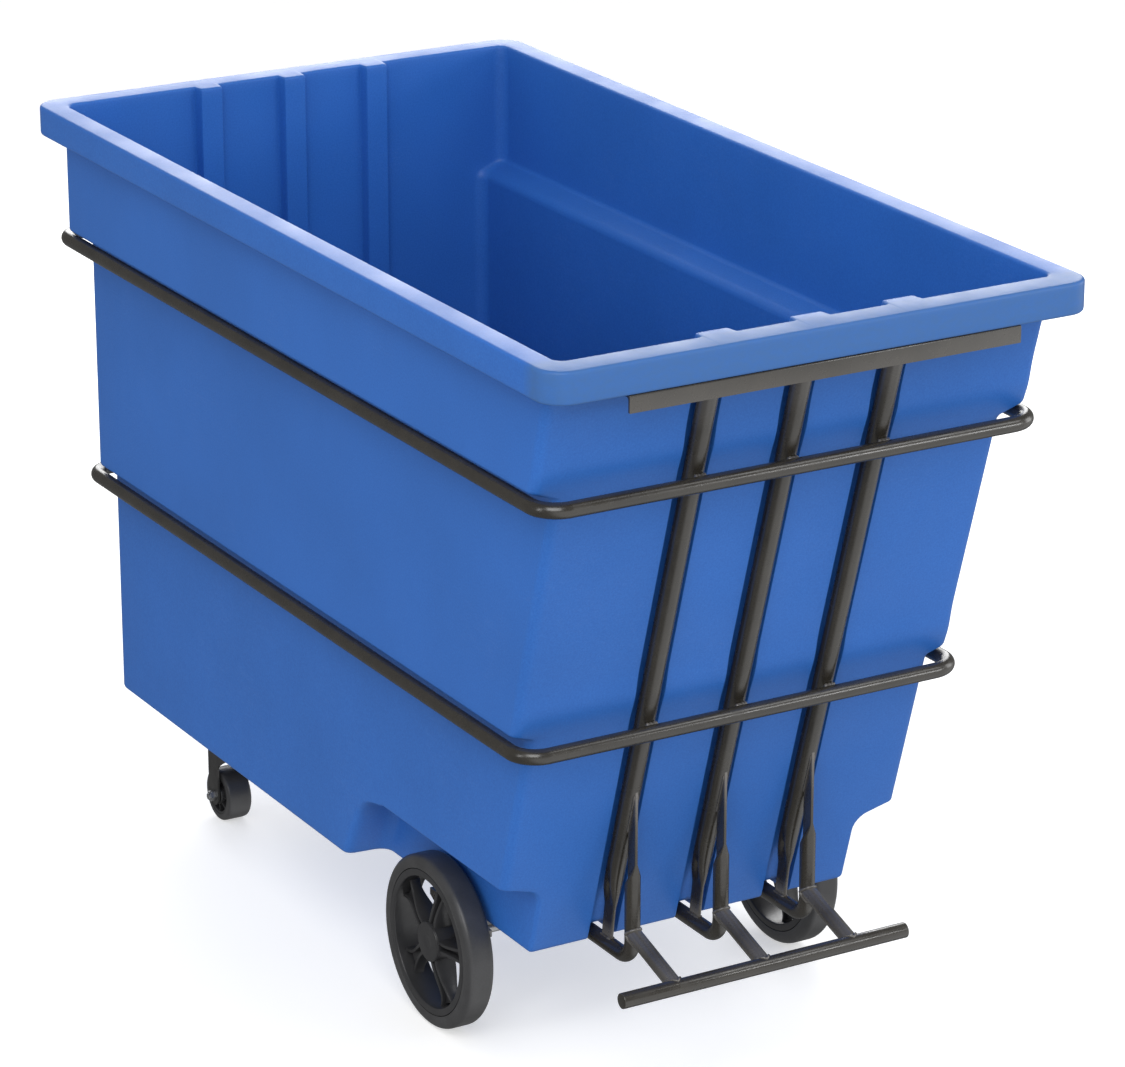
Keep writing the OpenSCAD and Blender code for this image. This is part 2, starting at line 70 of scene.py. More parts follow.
def new_material(name):
    """A material with one shader node: returns it with its tree and the shader."""
    material = bpy.data.materials.new(name)
    material.use_nodes = True
    tree = material.node_tree
    tree.nodes.clear()
    out = tree.nodes.new("ShaderNodeOutputMaterial")
    shader = tree.nodes.new("ShaderNodeBsdfPrincipled")
    tree.links.new(shader.outputs[0], out.inputs[0])
    return material, tree, shader


def object_coordinates(tree, scale=(1, 1, 1)):
    coordinates = tree.nodes.new("ShaderNodeTexCoord")
    mapping = tree.nodes.new("ShaderNodeMapping")
    mapping.inputs["Scale"].default_value = scale
    tree.links.new(coordinates.outputs["Object"], mapping.inputs[0])
    return mapping.outputs[0]


def noise_node(tree, vector, scale, detail, roughness=0.55):
    node = tree.nodes.new("ShaderNodeTexNoise")
    node.inputs["Scale"].default_value = scale
    node.inputs["Detail"].default_value = detail
    node.inputs["Roughness"].default_value = roughness
    tree.links.new(vector, node.inputs["Vector"])
    return node.outputs[0]


def ramp_node(tree, value, stops):
    node = tree.nodes.new("ShaderNodeValToRGB")
    while len(node.color_ramp.elements) < len(stops):
        node.color_ramp.elements.new(0.5)
    for element, (place, colour) in zip(node.color_ramp.elements, stops):
        element.position = place
        element.color = (*colour, 1)
    tree.links.new(value, node.inputs[0])
    return node.outputs[0]


def grey(v):
    return (v, v, v)


def mix_node(tree, factor, a, b, blend="MIX"):
    """Mixes colours; factor, a and b are sockets or values."""
    node = tree.nodes.new("ShaderNodeMix")
    node.data_type = "RGBA"
    node.blend_type = blend
    for socket, value in ((node.inputs[0], factor), (node.inputs[6], a), (node.inputs[7], b)):
        if isinstance(value, bpy.types.NodeSocket):
            tree.links.new(value, socket)
        elif isinstance(value, (int, float)):
            socket.default_value = value
        else:
            socket.default_value = (*value, 1)
    return node.outputs[2]


def bump_node(tree, height, strength, distance, normal=None):
    node = tree.nodes.new("ShaderNodeBump")
    node.inputs["Strength"].default_value = strength
    node.inputs["Distance"].default_value = distance
    tree.links.new(height, node.inputs["Height"])
    if normal is not None:
        tree.links.new(normal, node.inputs["Normal"])
    return node.outputs[0]


def map_range(tree, value, low, high, to_low=0.0, to_high=1.0, kind="SMOOTHSTEP"):
    node = tree.nodes.new("ShaderNodeMapRange")
    node.interpolation_type = kind
    for name, number in (("From Min", low), ("From Max", high), ("To Min", to_low), ("To Max", to_high)):
        node.inputs[name].default_value = number
    tree.links.new(value, node.inputs["Value"])
    return node.outputs[0]


def math_node(tree, operation, a, b):
    node = tree.nodes.new("ShaderNodeMath")
    node.operation = operation
    for socket, value in zip(node.inputs, (a, b)):
        if isinstance(value, bpy.types.NodeSocket):
            tree.links.new(value, socket)
        else:
            socket.default_value = value
    return node.outputs[0]


def edge_wear_and_highlight(tree, low, high):
    """A mask, white on convex edges from the mesh's own curvature: lighter edges that are a painted edge
    highlight, partly wear.
    """
    node = tree.nodes.new("ShaderNodeNewGeometry")
    return ramp_node(tree, node.outputs["Pointiness"], [(low, grey(0)), (high, grey(1))])


def sheen_and_scuff_zone(tree, low_x, low_z):
    """A mask, white where the object is further forward than low_x and higher than low_z, broken up by
    scuffs: it greys the front lip's face as painted sheen, partly scuffs.
    """
    split = tree.nodes.new("ShaderNodeSeparateXYZ")
    tree.links.new(object_coordinates(tree), split.inputs[0])
    masks = [map_range(tree, split.outputs[axis], low, low + 0.03, kind="LINEAR")
             for axis, low in ((0, low_x), (2, low_z))]
    scuffs = ramp_node(tree, noise_node(tree, object_coordinates(tree, (1, 1, 2)), 60, 6, 0.7),
                       [(0.36, grey(0.72)), (0.62, grey(1.0))])
    return mix_node(tree, 1.0, mix_node(tree, 1.0, *masks, "MULTIPLY"), scuffs, "MULTIPLY")


def surface(name, colour, roughness, vary, grain, grain_depth, patch, metallic=0.0, specular=0.5,
            mottle=0.25, wave=0.0, edge=None, scratch=None, sheen_and_scuffs=None):
    """Procedural finish: colour drift, fine grain, slow waviness, lighter convex edges, scratches and a
    greyed zone.

    edge is (low, high, colour): lighter convex edges, partly wear and partly a painted edge highlight;
    scratch (stretch, scale, strength, colour); the last argument (low X, low Z, colour) greys a zone as
    painted sheen, partly scuffs."""
    material, tree, shader = new_material(name)
    place = object_coordinates(tree)
    drift = noise_node(tree, place, patch, 5)
    speck = noise_node(tree, place, grain, 3)
    dark = tuple(c * (1 - vary) for c in colour)
    light = tuple(min(1, c * (1 + vary)) for c in colour)
    base = ramp_node(tree, drift, [(0.32, dark), (0.68, light)])
    specks = ramp_node(tree, speck, [(0.3, grey(0.35)), (0.7, grey(0.65))])
    base = mix_node(tree, mottle, base, specks, "SOFT_LIGHT")
    if edge is not None:
        # lighter convex edges: a painted edge highlight, partly wear
        low, high, tone = edge
        base = mix_node(tree, edge_wear_and_highlight(tree, low, high), base, tone)
    if scratch is not None:
        stretch, scale, strength, tone = scratch
        lines = noise_node(tree, object_coordinates(tree, stretch), scale, 2)
        mask = ramp_node(tree, lines, [(0.50, grey(0)), (0.515, grey(strength)), (0.53, grey(0))])
        patches = ramp_node(tree, noise_node(tree, place, 4.0, 2), [(0.5, grey(0)), (0.62, grey(1))])
        base = mix_node(tree, mix_node(tree, 1.0, mask, patches, "MULTIPLY"), base, tone)
    if sheen_and_scuffs is not None:
        # the front lip's face greyed: painted sheen, partly scuffs
        low_x, low_z, tone = sheen_and_scuffs
        base = mix_node(tree, sheen_and_scuff_zone(tree, low_x, low_z), base, tone)
    tree.links.new(base, shader.inputs["Base Color"])
    shader.inputs["Metallic"].default_value = metallic
    shader.inputs["Specular IOR Level"].default_value = specular
    rough = noise_node(tree, place, patch * 3, 4)
    tree.links.new(ramp_node(tree, rough, [(0.3, grey(roughness - 0.06)), (0.7, grey(roughness + 0.06))]),
                   shader.inputs["Roughness"])
    normal = bump_node(tree, speck, 0.5, grain_depth)
    if wave:
        normal = bump_node(tree, noise_node(tree, place, 5.0, 2), 0.6, wave, normal)
    tree.links.new(normal, shader.inputs["Normal"])
    return material


tub_plastic = surface("tub_plastic", (0.028, 0.141, 0.500), 0.42, vary=0.05, grain=330, grain_depth=0.00012,
                      patch=3.0, specular=0.30, mottle=0.42, wave=0.0010,
                      # lighter convex edges: a painted edge highlight, partly scuffs
                      edge=(0.56, 0.66, (0.09, 0.22, 0.60)),
                      scratch=((3, 9, 30), 5.0, 0.12, (0.16, 0.28, 0.60)),
                      # a greyer front lip face: painted sheen, partly scuffs
                      sheen_and_scuffs=(0.862, 1.216, (0.046, 0.138, 0.365)))
frame_paint = surface("frame_paint", (0.029, 0.025, 0.019), 0.26, vary=0.18, grain=420, grain_depth=0.00006,
                      # lighter convex edges: a painted edge highlight, partly paint wear
                      patch=14, specular=0.95, mottle=0.7, edge=(0.53, 0.62, (0.16, 0.15, 0.14)))
tyre_rubber = surface("tyre_rubber", (0.046, 0.046, 0.048), 0.38, vary=0.15, grain=600, grain_depth=0.00008,
                      patch=22, specular=0.6, mottle=0.5)
wheel_plastic = surface("wheel_plastic", (0.028, 0.028, 0.030), 0.34, vary=0.12, grain=1300,
                        grain_depth=0.00006, patch=26, specular=0.6)
fork_steel = surface("fork_steel", (0.060, 0.059, 0.057), 0.40, vary=0.2, grain=1500, grain_depth=0.00004,
                     patch=30, metallic=0.5)
zinc_plate = surface("zinc_plate", (0.42, 0.425, 0.43), 0.34, vary=0.15, grain=1800, grain_depth=0.00003,
                     patch=40, metallic=0.9)
bronze = surface("bronze", (0.42, 0.30, 0.14), 0.38, vary=0.15, grain=1800, grain_depth=0.00003,
                 patch=40, metallic=0.9)

FINISH = {"tub": tub_plastic, "frame": frame_paint, "tyre": tyre_rubber, "wheel": wheel_plastic,
          "caster_tread": tyre_rubber, "caster_core": wheel_plastic, "fork": fork_steel,
          "zinc": zinc_plate, "bush": bronze}

# ------------------------------------------------------------------ mesh helpers


def make_piece(name, verts, faces, slot, body, stands_for=(), sharp=40, bevel=0.0):
    """A mesh piece from points in millimetres, finished, riding on a body and standing for CAD nodes."""
    mesh = bpy.data.meshes.new(name)
    mesh.from_pydata([Vector(v) * MM for v in verts], [], faces)
    work = bmesh.new()
    work.from_mesh(mesh)
    bmesh.ops.remove_doubles(work, verts=work.verts, dist=1e-6)
    bmesh.ops.dissolve_degenerate(work, edges=work.edges, dist=1e-6)
    bmesh.ops.triangulate(work, faces=[f for f in work.faces if len(f.verts) > 4])
    bmesh.ops.recalc_face_normals(work, faces=work.faces)
    work.to_mesh(mesh)
    work.free()
    mesh.polygons.foreach_set("use_smooth", [True] * len(mesh.polygons))
    mesh.set_sharp_from_angle(angle=math.radians(sharp))
    piece = bpy.data.objects.new(name, mesh)
    bpy.context.scene.collection.objects.link(piece)
    mesh.materials.append(FINISH[slot])
    if bevel:
        add_bevel(piece, bevel)
    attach(piece, body)
    if stands_for:
        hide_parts(*stands_for)


def add_bevel(piece, width):
    bevel = piece.modifiers.new("bevel", "BEVEL")
    bevel.width = width * MM
    bevel.segments = 2
    bevel.limit_method = "ANGLE"
    bevel.angle_limit = math.radians(38)
    bevel.harden_normals = True


def lattice(rows):
    """Quads between rings of equal length."""
    faces = []
    width = len(rows[0])
    for i in range(0, (len(rows) - 1) * width, width):
        for j in range(width):
            k = (j + 1) % width
            faces.append((i + j, i + k, i + width + k, i + width + j))
    return faces


def joined(parts):
    """Joins (verts, faces) pairs into one."""
    verts, faces = [], []
    for more_verts, more_faces in parts:
        offset = len(verts)
        verts += list(more_verts)
        faces += [tuple(i + offset for i in f) for f in more_faces]
    return verts, faces


def round_path(points, radii, steps=6):
    """A 2D polyline with its inner corners rounded; radii has one value per inner corner."""
    path = [Vector(points[0])]
    for before, corner, after, radius in zip(points, points[1:], points[2:], radii):
        corner = Vector(corner)
        into = (corner - Vector(before)).normalized()
        out = (Vector(after) - corner).normalized()
        turn = into.angle(out)
        if turn < 1e-4 or radius <= 0:
            path.append(corner)
            continue
        reach = radius * math.tan(turn / 2)
        start = corner - into * reach
        side = 1 if into.x * out.y - into.y * out.x > 0 else -1
        centre = start + Vector((-into.y, into.x)) * side * radius
        spoke = start - centre
        for k in range(steps + 1):
            a = side * turn * k / steps
            path.append(centre + Vector((spoke.x * math.cos(a) - spoke.y * math.sin(a),
                                         spoke.x * math.sin(a) + spoke.y * math.cos(a))))
    path.append(Vector(points[-1]))
    return path


def resample(path, count):
    """count points at equal spacing along a 2D path."""
    lengths = [0.0]
    for a, b in zip(path, path[1:]):
        lengths.append(lengths[-1] + (b - a).length)
    made, i = [], 0
    for k in range(count):
        want = lengths[-1] * k / (count - 1)
        while i < len(path) - 2 and lengths[i + 1] < want:
            i += 1
        span = lengths[i + 1] - lengths[i]
        made.append(path[i].lerp(path[i + 1], (want - lengths[i]) / span if span else 0))
    return made


def interpolate(x, table):
    """Linear interpolation in a list of (x, y) with rising x."""
    if x <= table[0][0]:
        return table[0][1]
    for (x0, y0), (x1, y1) in zip(table, table[1:]):
        if x <= x1:
            return y0 + (y1 - y0) * (x - x0) / (x1 - x0) if x1 > x0 else y1
    return table[-1][1]


def smooth(x):
    """Eases from 0 to 1 as x goes from 0 to 1."""
    x = max(0.0, min(1.0, x))
    return x * x * (3 - 2 * x)


# ------------------------------------------------------------------ tub

tub_low, tub_high = (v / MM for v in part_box("tub"))
RIM_X, RIM_Y, RIM_TOP, FLOOR = tub_high.x, tub_high.y, tub_high.z, tub_low.z
LEAN_ANGLE = math.radians(16.8)
LEAN = math.tan(LEAN_ANGLE)
LIP = 54.0
WALL = 8.0
FRONT_FOOT = 485.0
SET_BACK = 6.0
REAR = -902.0
TIER_HALF = (386.0, 418.5, 463.5)
LEDGES = (660.0, 672.0, 1114.0, 1132.0)
SWELLS = (1166, 706)
RIM_CORNER, INNER_CORNER, REAR_CORNER = 47.0, 21.0, 28.0
UPPER_CORNER, LOWER_CORNER, LEAST_CORNER = 18.0, 8.5, 6.0
PITCH = 171.5
GROOVE_DEPTHS = (22.0, 21.0)
BELLY_DEPTH = 16.0
WELL_CENTRE = (165.0, 257.0)
WELL_RADIUS = 100.0
WELL_SIDE = 311.0
WELL_ROOF = (343.0, 362.0)
WELL_SLANT = math.radians(25)


def front_x(z):
    """X of the leaning wall's surface; it sits back a little below the rim's lip."""
    return FRONT_FOOT + z * LEAN - SET_BACK * smooth((RIM_TOP - 22 - z) / 40)


def side_profile(t):
    """(height, half width) up the stepped side, offset inward by t."""
    low, middle, high = (half - t for half in TIER_HALF)
    z0, z1, z2, z3 = (z + 0.9 * t for z in LEDGES)
    points = [(low, 0), (low, z0), (middle, z1), (middle, z2), (high, z3), (high, 1500)]
    radii = [20, 9, 20, 10] if t > 0 else [12, 8, 12, 8]
    return [(p.y, p.x) for p in round_path(points, radii)]


def well_profile(t):
    """(height, half width) up the wheel well's side and sloping roof."""
    inner, outer = WELL_SIDE - t, TIER_HALF[0] - t
    z0, z1 = (z + 1.03 * t for z in WELL_ROOF)
    points = [(inner, 0), (inner, z0), (outer, z1), (outer, 600)]
    radii = [24, 4] if t > 0 else [34, 4]
    return [(p.y, p.x) for p in round_path(points, radii)]


def well_edge(z, t):
    """X of the wheel well's rear wall at height z."""
    radius = WELL_RADIUS + t
    break_z = WELL_CENTRE[1] + radius * math.sin(WELL_SLANT)
    if z <= break_z:
        return WELL_CENTRE[0] - radius * math.cos(WELL_SLANT) - math.tan(WELL_SLANT) * (break_z - z)
    over = z - WELL_CENTRE[1]
    return WELL_CENTRE[0] - (math.sqrt(radius ** 2 - over ** 2) if over < radius else 0)


# half width of a groove's floor, its growth per millimetre inward, and the same of its mouth
FRONT_GROOVE = (24.3, 0.45, 28.3, 0.70)
REAR_GROOVE = (17.8, 0.35, 20.8, 0.55)


def groove_places(centre, t, shape, first_half):
    """Y and depth weight across one frame groove."""
    inner, outer = shape[0] + shape[1] * t, shape[2] + shape[3] * t
    ramp = [(inner + (outer - inner) * k / 6, 0.5 + 0.5 * math.cos(math.pi * k / 6)) for k in range(7)]
    rising = [(centre - y, w) for y, w in reversed(ramp)]
    middle = [(centre + y, 1.0) for y in ((-12, 0, 12) if first_half else (0, 12))]
    return (rising if first_half else []) + middle + [(centre + y, w) for y, w in ramp]


def spread(a, b, count):
    """count values strictly between a and b."""
    return [a + (b - a) * (k + 1) / (count + 1) for k in range(count)]


def grooves_across(t, shape):
    """Y and depth weight from the middle groove to the far edge of the next one."""
    across = groove_places(0, t, shape, False)
    across += [(y, 0.0) for y in spread(across[-1][0], PITCH - shape[2] - shape[3] * t, 3)]
    return across + groove_places(PITCH, t, shape, True)


CORNER_STEPS = 8
WELL_STEPS = 18


def half_plan(x_front, x_rear, half, radii, t=0.0, depths=(0.0, 0.0), well=None):
    """Plan of the wall for Y >= 0, front centre round to rear centre: (x, y, groove weight).

    radii and depths are those of the corners and the grooves, front and rear. well is the half width
    between the wheel wells and the X of their rear wall."""
    near, edge = well or (half, WELL_CENTRE[0])
    front_radius, rear_radius = radii
    across = grooves_across(t, FRONT_GROOVE)
    front = across + [(y, 0.0) for y in spread(across[-1][0], near - front_radius, 4)]
    across = grooves_across(t, REAR_GROOVE)
    rear = across + [(y, 0.0) for y in spread(across[-1][0], half - rear_radius, 4)]
    turns = [math.pi / 2 * k / CORNER_STEPS for k in range(CORNER_STEPS + 1)]
    made = [(x_front - depths[0] * w, y, w) for y, w in front]
    made += [(x_front - front_radius + front_radius * math.cos(a),
              near - front_radius + front_radius * math.sin(a), 0.0) for a in turns]
    step = half - near
    bends = [0.34 * step, 0.2 * step]
    ahead, behind = edge + 46, edge - 34
    path = round_path([(ahead, near), (edge + 4, near), (edge - 4, half), (behind, half)], bends)
    made += [(x, near, 0.0) for x in spread(x_front - front_radius, ahead, 6)]
    made += [(p.x, p.y, 0.0) for p in resample(path, WELL_STEPS)]
    made += [(x, half, 0.0) for x in spread(behind, x_rear + rear_radius, 10)]
    made += [(x_rear + rear_radius - rear_radius * math.cos(a),
              half - rear_radius + rear_radius * math.sin(a), 0.0) for a in reversed(turns)]
    made += [(x_rear + depths[1] * w, y, w) for y, w in reversed(rear)]
    return made, len(across)


def whole(half_points):
    """Mirrors a half plan to the closed ring."""
    return list(half_points) + [(x, -y, w) for x, y, w in reversed(half_points[1:-1])]


def front_swell(z):
    """Slow outward swell of the front wall above each hoop."""
    return sum(3.8 * math.exp(-((z - c) / 30) ** 2) for c in SWELLS)


def wall_corner(z, t):
    """Plan radius of the front upright corners, tighter below the wheel well's ledge."""
    upper = smooth((z - 344) / 18)
    return (UPPER_CORNER - 0.5 * t) * upper + LOWER_CORNER * (1 - upper)


def wall_plan(z, t, profile, well_sides, inset=0.0):
    """Half plan of the wall at height z, t inside its outer surface and drawn in by inset."""
    half = interpolate(z, profile) - inset
    near = interpolate(z, well_sides) - inset
    well = (near, well_edge(z, t) - inset) if near < half - 0.01 and z < 500 else None
    swell = front_swell(z) if t == 0 else 0
    radii = [max(radius - inset, LEAST_CORNER) for radius in (wall_corner(z, t), REAR_CORNER - 0.5 * t)]
    x_front = front_x(z) - t / math.cos(LEAN_ANGLE) + swell - inset
    return half_plan(x_front, REAR + t + inset, half, radii, t, GROOVE_DEPTHS, well)


def wall_heights(profile, well_sides, start, stop):
    """Heights of the wall's rows: every bend and swell, with even steps where they are far apart."""
    marks = {round(z, 2) for z, _ in profile + well_sides if start < z < stop}
    marks |= {round(c + 10 * k, 2) for c in SWELLS for k in range(-6, 7)}
    marks |= {start, stop}
    marks |= {WELL_CENTRE[1] + 6 * k for k in range(-5, 22)}
    marks = sorted(m for m in marks if start <= m <= stop)
    full = []
    for a, b in zip(marks, marks[1:]):
        pieces = max(1, int((b - a) / 34))
        full += [a + (b - a) * k / pieces for k in range(pieces)]
    full.append(marks[-1])
    kept = [full[0]]
    for z in full[1:]:
        if z - kept[-1] > 0.6:
            kept.append(z)
    return kept


def skin(t, top):
    """Rows of one side of the tub's wall, from its floor edge up to top, and the floor's faces."""
    profile, sides = side_profile(t), well_profile(t)
    floor = FLOOR + t
    fillet = 10.5 + t
    rows = []
    steps = 7
    for k in range(steps, -1, -1):
        a = math.pi / 2 * k / steps
        z = floor + fillet * (1 - math.sin(a))
        plan, across = wall_plan(z, t, profile, sides, fillet * (1 - math.cos(a)))
        rows.append([(x, y, z + BELLY_DEPTH * w) for x, y, w in whole(plan)])
    for z in wall_heights(profile, sides, floor + fillet + BELLY_DEPTH + 2, top):
        plan, across = wall_plan(z, t, profile, sides)
        rows.append([(x, y, z) for x, y, w in whole(plan)])
    width = len(rows[0])
    half_count = width // 2 + 1
    last = across - 1
    floor_faces = []
    for i in range(last):
        j = half_count - 1 - i
        quad = (i, i + 1, j - 1, j)
        floor_faces += [quad, tuple((width - n) % width for n in quad)]
    side = list(range(last, half_count - last))
    floor_faces += [tuple(side), tuple((width - n) % width for n in side)]
    return rows, floor_faces


def rim_row(inset, z):
    corner = max(RIM_CORNER - inset, 4)
    plan, _ = half_plan(RIM_X - inset, -RIM_X + inset, RIM_Y - inset, (corner, corner))
    return [(x, y, z) for x, y, w in whole(plan)]


def inner_rim_row(t, z):
    x_front = front_x(RIM_TOP) - t / math.cos(LEAN_ANGLE)
    corners = (INNER_CORNER, INNER_CORNER)
    plan, _ = half_plan(x_front, REAR + t, TIER_HALF[2] - t, corners, t, GROOVE_DEPTHS)
    return [(x, y, z) for x, y, w in whole(plan)]


def build_tub():
    outer_rows, outer_floor = skin(0.0, RIM_TOP - WALL)
    inner_rows, inner_floor = skin(WALL, RIM_TOP - 20)
    lip_low = RIM_TOP - LIP
    edge = 5.5
    rim = [rim_row(inset, RIM_TOP - WALL - drop) for inset, drop in ((14, 0), (9.5, 1.5), (8, 6))]
    rim += [rim_row(inset, lip_low + rise) for inset, rise in (
        (8, 4), (7, 1), (4.5, 0), (2, 0.7), (0.5, 2.6), (0, 5.5), (0, 20))]
    rim.append(rim_row(0, RIM_TOP - edge - 8))
    for k in range(6):
        a = math.pi / 2 * k / 5
        rim.append(rim_row(edge * (1 - math.cos(a)), RIM_TOP - edge + edge * math.sin(a)))
    fall = 5.0
    for k in range(6):
        a = math.pi / 2 * k / 5
        rim.append(inner_rim_row(WALL - fall * (1 - math.sin(a)), RIM_TOP - fall * (1 - math.cos(a))))
    rows = outer_rows + rim + inner_rows[::-1]
    verts = [p for row in rows for p in row]
    faces = lattice(rows)
    faces += outer_floor
    top = (len(rows) - 1) * len(rows[0])
    faces += [tuple(i + top for i in f) for f in inner_floor]
    make_piece("tub_moulding", verts, faces, "tub", "truck", ["tub"], sharp=50)


build_tub()

# ------------------------------------------------------------------ steel frame

GROOVES = {1: -PITCH, 2: 0.0, 3: PITCH}
TUBE = 13.35
RISER = 16.7
RAIL_Z = (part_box("base_rail_1")[0].z / MM) + TUBE
LEG_X = 644.0
HOOK_BEND = 36.0
RAIL_TAIL = 16.0
# how far these pieces stand from their CAD nodes
HOOP_OUT, HOOP_BACK = 3.0, 2.0
BAR_FORWARD, BAR_DROP = 2.0, 2.5
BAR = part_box("lift_bar")
BAR_X = (BAR[0].x + BAR[1].x) / 2 / MM + BAR_FORWARD
BAR_Z = (BAR[0].z + BAR[1].z) / 2 / MM - BAR_DROP
BAR_HALF = BAR[1].y / MM
REAR_RISER_X = (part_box("rear_riser_2")[0].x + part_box("rear_riser_2")[1].x) / 2 / MM
CATCH_LOW, CATCH_HIGH = (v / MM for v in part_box("catch_angle"))
RISER_FOOT = 482.0
RISER_FACE = 17.4


def riser_x(z):
    """X of a front riser's axis."""
    return RISER_FOOT + z * LEAN


def riser_front(x):
    """Height at which the front face of a front riser reaches x."""
    return (x - RISER_FOOT - RISER_FACE) / LEAN


def super_ring(half_a, half_b, power=2.0, pinch=0.0, count=32):
    """(a, b) pairs round a rounded section, with an optional valley pressed into both b faces."""
    made = []
    for k in range(count):
        c, s = math.cos(TAU * k / count), math.sin(TAU * k / count)
        a = half_a * math.copysign(abs(c) ** (2 / power), c)
        b = half_b * math.copysign(abs(s) ** (2 / power), s)
        made.append((a, b * (1 - pinch * math.exp(-(c / 0.34) ** 2))))
    return made


def tube_rows(path, radius, closed=False, count=24, swell=None):
    """Rings of a round tube along 3D points; swell scales the radius ring by ring."""
    path = [Vector(p) for p in path]
    last = len(path) - 1
    rows, side = [], None
    for i, point in enumerate(path):
        before = path[i - 1] if i or closed else point
        after = path[(i + 1) % len(path)] if i < last or closed else point
        along = (after - before).normalized()
        if side is None:
            side = along.orthogonal().normalized()
        side = (side - along * side.dot(along)).normalized()
        up = along.cross(side)
        r = radius * (swell[i] if swell else 1)
        rows.append([point + (side * math.cos(TAU * k / count) + up * math.sin(TAU * k / count)) * r
                     for k in range(count)])
    return rows


def closed_skin(rows, loop=False):
    """Verts and faces of a closed solid through rings: capped at its ends, or joined end to end."""
    verts = [p for row in rows for p in row]
    faces = lattice(rows + [rows[0]]) if loop else lattice(rows)
    if loop:
        total = len(verts)
        faces = [tuple(i % total for i in f) for f in faces]
    else:
        width = len(rows[0])
        faces.append(tuple(reversed(range(width))))
        faces.append(tuple(range(len(verts) - width, len(verts))))
    return verts, faces


def rounded_end(rows, centre, edge, steps=3):
    """Rings that turn the end of a tube in by edge, from its last ring."""
    ring, made = rows[-1], []
    along = (Vector(centre) - sum((Vector(p) for p in rows[-2]), Vector()) / len(rows[-2])).normalized()
    radius = (Vector(ring[0]) - Vector(centre)).length
    for k in range(1, steps + 1):
        a = math.pi / 2 * k / steps
        scale = (radius - edge * (1 - math.cos(a))) / radius
        made.append([Vector(centre) + (Vector(p) - Vector(centre)) * scale + along * edge * math.sin(a)
                     for p in ring])
    return rows + made


def bead(points, radius, closed=False, seed=0):
    """A lumpy weld bead along 3D points."""
    swell = []
    for i, point in enumerate(points):
        ripple = 0.12 * math.sin(i * 2.1 + seed)
        lump = 0.22 * noise.noise(Vector(point) * 0.09 + Vector((seed, 0, 0)))
        taper = 1 if closed else smooth(min(i + 0.6, len(points) - 0.4 - i) / 2.0)
        swell.append((1 + ripple + lump) * max(taper, 0.15))
    return closed_skin(tube_rows(points, radius, closed, 8, swell), closed)


def arc_points(centre, a_axis, b_axis, radius, start, stop, steps):
    centre, a_axis, b_axis = Vector(centre), Vector(a_axis), Vector(b_axis)
    return [centre + (a_axis * math.cos(a) + b_axis * math.sin(a)) * radius
            for a in (start + (stop - start) * k / steps for k in range(steps + 1))]


def build_hoop(name):
    """A closed hoop, a little further out than its CAD node: returns its front X, rear X and height."""
    low, high = (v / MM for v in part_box(name))
    bend = 45.0
    x1, x0 = high.x - TUBE + HOOP_OUT, low.x + TUBE - HOOP_BACK
    half, z = high.y - TUBE + HOOP_OUT, (low.z + high.z) / 2
    path = []
    for cx, cy, start in ((x1 - bend, half - bend, 0), (x0 + bend, half - bend, 90),
                          (x0 + bend, -half + bend, 180), (x1 - bend, -half + bend, 270)):
        a = math.radians(start)
        path += arc_points((cx, cy, z), (1, 0, 0), (0, 1, 0), bend, a, a + math.pi / 2, 12)
    make_piece(name + "_tube", *closed_skin(tube_rows(path, TUBE, True, 28), True), "frame", "truck", [name])
    return x1, x0, z


def hoop_welds(hoops):
    """Beads that fill the gap between each hoop and riser, above and below the hoop."""
    parts = []
    rise = 7.5
    for number, (x1, x0, z) in enumerate(hoops):
        for key, y in GROOVES.items():
            for hoop_x, axis, facing in ((x1, riser_x(z), -1), (x0, REAR_RISER_X, 1)):
                touch = (hoop_x + facing * TUBE + axis - facing * RISER) / 2
                for s in (-1, 1):
                    centre = Vector((touch, y, z + s * rise))
                    if facing < 0:
                        centre.x += s * rise * LEAN
                    curve = [centre + Vector((facing * 0.012 * t * t, t, 0)) for t in range(-11, 12, 2)]
                    parts.append(bead(curve, 4.6, seed=number * 7 + key * 3 + s + hoop_x))
                core = [Vector((touch, y + t, z)) for t in (-9, -4.5, 0, 4.5, 9)]
                parts.append(closed_skin(tube_rows(core, 6.0, False, 10)))
    make_piece("hoop_welds", *joined(parts), "frame", "truck", ["hoop_saddles"], sharp=60)


# height, half length along X, half thickness, valley depth, squareness
FOOT = [
    (372, 17.4, 16.7, 0.0, 2), (362, 17.4, 16.6, 0.06, 2), (352, 17.5, 16.4, 0.16, 2),
    (343, 17.6, 16.0, 0.30, 2), (335, 17.8, 15.4, 0.46, 2), (328, 18.1, 14.4, 0.60, 2),
    (321, 18.4, 13.0, 0.72, 2.1), (314, 18.6, 11.2, 0.76, 2.3), (307, 18.4, 9.0, 0.70, 2.5),
    (300, 17.9, 6.8, 0.50, 3), (294, 17.0, 5.0, 0.28, 4), (288, 15.9, 3.6, 0.12, 5),
    (282, 15.2, 3.1, 0.0, 7), (260, 15.0, 3.0, 0.0, 7), (224, 15.0, 3.0, 0.0, 7)]
FRONT_FOOT_AXIS = [(228, 563.0), (265, 569.0), (302, 575.0), (322, riser_x(322))]


